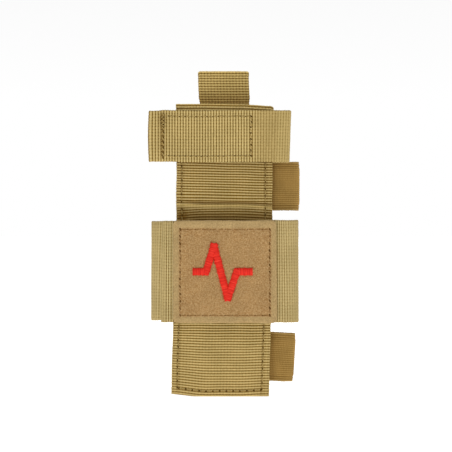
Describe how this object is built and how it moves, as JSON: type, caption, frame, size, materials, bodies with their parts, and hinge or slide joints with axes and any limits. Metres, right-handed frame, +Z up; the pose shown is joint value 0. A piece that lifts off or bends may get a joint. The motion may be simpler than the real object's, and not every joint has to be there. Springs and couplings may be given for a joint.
{
  "type": "tourniquet holder",
  "caption": "Webbing holder for a folded tourniquet: panel with pull loop, hook-and-loop retention strap, open sleeve with felt label, and two mounting straps behind.",
  "frame": {"origin": "centre of the belt channel, the gap inside the two mounting straps behind the panel, at half the panel's height", "axes": "+Z up along the panel towards the pull loop, -Y out of the front, +X to the right as seen from the front"},
  "size_m": [0.0766, 0.0219, 0.1654],
  "materials": {
    "khaki_webbing": "ribbed woven nylon webbing, matte",
    "thread": "twisted bonded thread",
    "label_felt": "brushed felt",
    "red_embroidery": "satin-stitched thread",
    "loop_tape": "looped pile tape",
    "hook_tape": "hook tape"
  },
  "bodies": {
    "carrier": {"carrier_webbing": "khaki_webbing", "carrier_seam_left": "thread", "carrier_seam_right": "thread", "carrier_hem_seam": "thread", "sleeve_band": "khaki_webbing", "sleeve_gusset_left": "khaki_webbing", "sleeve_gusset_right": "khaki_webbing", "retention_band": "khaki_webbing", "retention_loop_patch": "loop_tape", "pull_loop_anchor": "khaki_webbing", "pull_loop_stitching": "thread", "upper_mount_root": "khaki_webbing", "upper_mount_loop_tape": "loop_tape", "upper_mount_root_stitching": "thread", "lower_mount_root": "khaki_webbing", "lower_mount_loop_tape": "loop_tape", "lower_mount_root_stitching": "thread"},
    "sleeve_panel": {"sleeve_front": "khaki_webbing", "label_patch": "label_felt", "label_stitching": "thread", "label_emblem": "red_embroidery"},
    "retention_flap_body": {"retention_flap": "khaki_webbing", "retention_hook_patch": "hook_tape", "flap_box_stitching": "thread", "flap_grip_stitching": "thread", "flap_bartack": "thread"},
    "pull_loop_body": {"pull_loop": "khaki_webbing"},
    "upper_mount_flap_body": {"upper_mount_flap": "khaki_webbing", "upper_mount_hook_tape": "hook_tape", "upper_mount_flap_stitching": "thread"},
    "lower_mount_flap_body": {"lower_mount_flap": "khaki_webbing", "lower_mount_hook_tape": "hook_tape", "lower_mount_flap_stitching": "thread"}
  },
  "joints": [
    {"name": "sleeve_open", "type": "slide", "parent": "carrier", "child": "sleeve_panel", "axis": [0, -1, 0], "range_m": [-0.004, 0.018], "stiffness_N_per_m": 60, "deforming": ["sleeve_gusset_left", "sleeve_gusset_right"]},
    {"name": "retention_flap_peel", "type": "hinge", "parent": "carrier", "child": "retention_flap_body", "pos_m": [0.02005, -0.01785, 0.0578], "axis": [0, 0, 1], "range_deg": [0, 165]},
    {"name": "pull_loop_flex", "type": "hinge", "parent": "carrier", "child": "pull_loop_body", "pos_m": [0, -0.00245, 0.0762], "axis": [1, 0, 0], "range_deg": [-90, 90], "stiffness_Nm_per_rad": 0.01},
    {"name": "upper_mount_peel", "type": "hinge", "parent": "carrier", "child": "upper_mount_flap_body", "pos_m": [0.03155, 0.00375, 0.0328], "axis": [0, 0, -1], "range_deg": [0, 165]},
    {"name": "lower_mount_peel", "type": "hinge", "parent": "carrier", "child": "lower_mount_flap_body", "pos_m": [0.02905, 0.00375, -0.054], "axis": [0, 0, -1], "range_deg": [0, 165]}
  ]
}
